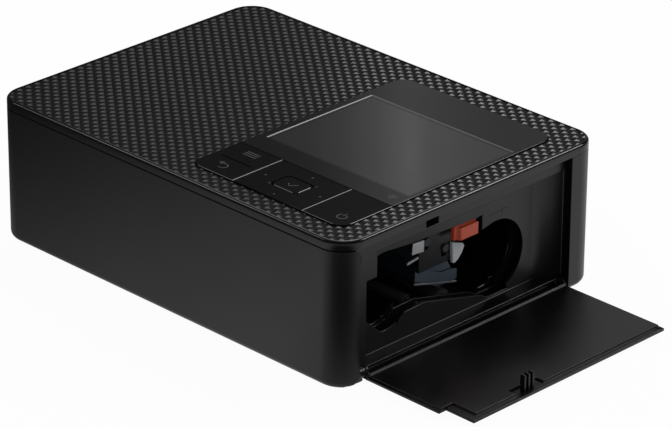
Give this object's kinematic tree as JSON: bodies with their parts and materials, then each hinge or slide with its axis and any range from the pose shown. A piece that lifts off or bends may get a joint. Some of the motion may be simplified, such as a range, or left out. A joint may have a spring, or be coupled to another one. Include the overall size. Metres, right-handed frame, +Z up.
{
  "type": "compact photo printer",
  "caption": "Compact dye-sublimation photo printer with a hinged front cover, an ink door that folds down at the side, and a control panel with a display on top.",
  "frame": {"origin": "on the table top, midway between the feet and under the middle of the body", "axes": "+X to the right, towards the side with the ink door; +Y to the back; +Z up. The ink door rests open and level, the front cover rests closed"},
  "size_m": [0.2288, 0.133, 0.0589],
  "materials": {
    "board_green": "solder mask",
    "cable_white": "flat flexible cable",
    "carriage_dark": "glass-filled moulding",
    "ceramic": "glazed ceramic strip",
    "chip_black": "moulded packages",
    "coated_steel": "sheet with a black coating",
    "foot_rubber": "matt rubber",
    "gear_brass": "cut brass",
    "gear_white": "natural acetal",
    "inner_black": "matt black moulding",
    "key_gloss": "glossy black",
    "lever_orange": "orange-red moulding",
    "module_metal": "stamped shield",
    "motor_steel": "plated can",
    "panel_gloss": "glossy black",
    "pin_steel": "bright steel",
    "roller_rubber": "ground rubber",
    "shaft_steel": "ground steel",
    "sheet_steel": "zinc-plated sheet",
    "shell_black": "satin black moulding with a very fine grain",
    "sink_aluminium": "extruded, blue-grey",
    "spindle_white": "natural acetal",
    "top_black": "black moulding, embossed with a fine diagonal lattice",
    "window": "smoked clear window"
  },
  "bodies": {
    "housing": {"base_case": "shell_black", "top_cover": "top_black", "front_frame": "inner_black", "side_frame": "shell_black", "rubber_feet": "foot_rubber", "front_hinge_pins": "pin_steel", "panel_inlay": "panel_gloss", "display_window": "window", "display_module": "module_metal", "key_board": "board_green", "lever_pin": "pin_steel", "left_chassis": "sheet_steel", "right_chassis": "coated_steel", "cross_bars": "sheet_steel", "motor_plate": "sheet_steel", "cassette_guide": "inner_black", "paper_guide": "inner_black", "feed_motor": "motor_steel", "gear_pins": "pin_steel", "ribbon_motor": "motor_steel", "head_motor": "motor_steel", "main_board": "board_green", "board_parts": "chip_black", "rear_board": "board_green", "card_socket": "module_metal", "data_socket": "module_metal", "power_inlet": "inner_black", "fan_frame": "inner_black", "flat_cable": "cable_white", "case_screws": "pin_steel"},
    "front_cover": {"front_cover": "shell_black"},
    "ink_door": {"ink_door": "shell_black", "door_hinge_pins": "pin_steel", "door_latch": "shell_black"},
    "rocker_key": {"rocker_key": "key_gloss"},
    "four_way_key": {"four_way_key": "key_gloss"},
    "confirm_key": {"confirm_key": "key_gloss"},
    "power_key": {"power_key": "key_gloss"},
    "eject_lever": {"eject_lever": "lever_orange"},
    "platen_roller": {"platen_roller": "roller_rubber"},
    "grip_roller": {"grip_roller": "shaft_steel", "grip_gear": "gear_white"},
    "pinch_roller": {"pinch_roller": "roller_rubber"},
    "pickup_roller": {"pickup_roller": "roller_rubber", "pickup_gear": "gear_white"},
    "feed_pinion": {"feed_pinion": "gear_brass"},
    "feed_idler": {"feed_idler": "gear_white"},
    "pickup_idler": {"pickup_idler": "gear_white"},
    "take_up_spindle": {"take_up_spindle": "spindle_white", "take_up_gear": "gear_white"},
    "supply_spindle": {"supply_spindle": "spindle_white"},
    "ribbon_pinion": {"ribbon_pinion": "gear_brass"},
    "print_head": {"head_carriage": "carriage_dark", "heat_sink": "sink_aluminium", "head_strip": "ceramic"},
    "cam_shaft": {"cam_shaft": "shaft_steel", "cam_gear": "gear_white"},
    "head_pinion": {"head_pinion": "gear_brass"},
    "fan_rotor": {"fan_rotor": "inner_black"}
  },
  "joints": [
    {"name": "front_cover_hinge", "type": "hinge", "parent": "housing", "child": "front_cover", "pos_m": [0, -0.0615, 0.0063], "axis": [1, 0, 0], "range_deg": [0, 90]},
    {"name": "ink_door_hinge", "type": "hinge", "parent": "housing", "child": "ink_door", "pos_m": [0.088, 0, 0.005], "axis": [0, -1, 0], "range_deg": [0, 90]},
    {"name": "rocker_key_tilt", "type": "hinge", "parent": "housing", "child": "rocker_key", "pos_m": [0.01455, -0.04355, 0.0552], "axis": [1, 0, 0], "range_deg": [-1, 1], "stiffness_Nm_per_rad": 0.3},
    {"name": "four_way_key_press", "type": "slide", "parent": "housing", "child": "four_way_key", "axis": [0, 0, -1], "range_m": [0, 0.0004], "stiffness_N_per_m": 3500},
    {"name": "confirm_key_press", "type": "slide", "parent": "housing", "child": "confirm_key", "axis": [0, 0, -1], "range_m": [0, 0.0004], "stiffness_N_per_m": 3500},
    {"name": "power_key_press", "type": "slide", "parent": "housing", "child": "power_key", "axis": [0, 0, -1], "range_m": [0, 0.0004], "stiffness_N_per_m": 3500},
    {"name": "eject_lever_pivot", "type": "hinge", "parent": "housing", "child": "eject_lever", "pos_m": [0.08, -0.018, 0.0455], "axis": [1, 0, 0], "range_deg": [0, 3], "stiffness_Nm_per_rad": 0.2},
    {"name": "grip_roller_spin", "type": "hinge", "parent": "housing", "child": "grip_roller", "pos_m": [0, -0.014, 0.0076], "axis": [1, 0, 0], "continuous": true},
    {"name": "feed_idler_spin", "type": "hinge", "parent": "housing", "child": "feed_idler", "pos_m": [-0.0458, -0.02045, 0.01682], "axis": [1, 0, 0], "continuous": true},
    {"name": "feed_pinion_spin", "type": "hinge", "parent": "housing", "child": "feed_pinion", "pos_m": [-0.0458, -0.02692, 0.02509], "axis": [1, 0, 0], "continuous": true},
    {"name": "pickup_idler_spin", "type": "hinge", "parent": "housing", "child": "pickup_idler", "pos_m": [-0.0458, -0.03694, 0.01619], "axis": [1, 0, 0], "continuous": true},
    {"name": "pickup_roller_spin", "type": "hinge", "parent": "housing", "child": "pickup_roller", "pos_m": [0, -0.0496, 0.0115], "axis": [1, 0, 0], "continuous": true},
    {"name": "pinch_roller_spin", "type": "hinge", "parent": "housing", "child": "pinch_roller", "pos_m": [0, -0.014, 0.0131], "axis": [1, 0, 0], "continuous": true},
    {"name": "platen_roller_spin", "type": "hinge", "parent": "housing", "child": "platen_roller", "pos_m": [0, 0.0035, 0.0077], "axis": [1, 0, 0], "continuous": true},
    {"name": "take_up_spin", "type": "hinge", "parent": "housing", "child": "take_up_spindle", "pos_m": [-0.04, 0.0213, 0.0223], "axis": [1, 0, 0], "continuous": true},
    {"name": "ribbon_pinion_spin", "type": "hinge", "parent": "housing", "child": "ribbon_pinion", "pos_m": [-0.0458, 0.03081, 0.03117], "axis": [1, 0, 0], "continuous": true},
    {"name": "supply_spin", "type": "hinge", "parent": "housing", "child": "supply_spindle", "pos_m": [-0.04, -0.0362, 0.0282], "axis": [1, 0, 0], "continuous": true},
    {"name": "cam_shaft_turn", "type": "hinge", "parent": "housing", "child": "cam_shaft", "pos_m": [0, -0.003, 0.042], "axis": [1, 0, 0], "range_deg": [0, 180]},
    {"name": "head_pinion_turn", "type": "hinge", "parent": "housing", "child": "head_pinion", "pos_m": [-0.0458, 0.00739, 0.036], "axis": [1, 0, 0], "range_deg": [-540, 0]},
    {"name": "print_head_slide", "type": "slide", "parent": "housing", "child": "print_head", "axis": [0, 0, -1], "range_m": [0, 0.0016]},
    {"name": "fan_spin", "type": "hinge", "parent": "housing", "child": "fan_rotor", "pos_m": [0.045, 0, 0.032], "axis": [0, 1, 0], "continuous": true}
  ],
  "couplings": [
    {"joint": "feed_idler_spin", "follows": "grip_roller_spin", "ratio": -0.5},
    {"joint": "feed_pinion_spin", "follows": "grip_roller_spin", "ratio": 1.25},
    {"joint": "pickup_idler_spin", "follows": "grip_roller_spin", "ratio": 0.41667},
    {"joint": "pickup_roller_spin", "follows": "grip_roller_spin", "ratio": -0.83333},
    {"joint": "ribbon_pinion_spin", "follows": "take_up_spin", "ratio": -3.3333},
    {"joint": "cam_shaft_turn", "follows": "print_head_slide", "rad_per_m": 1963.5},
    {"joint": "head_pinion_turn", "follows": "print_head_slide", "rad_per_m": -5890.5}
  ]
}
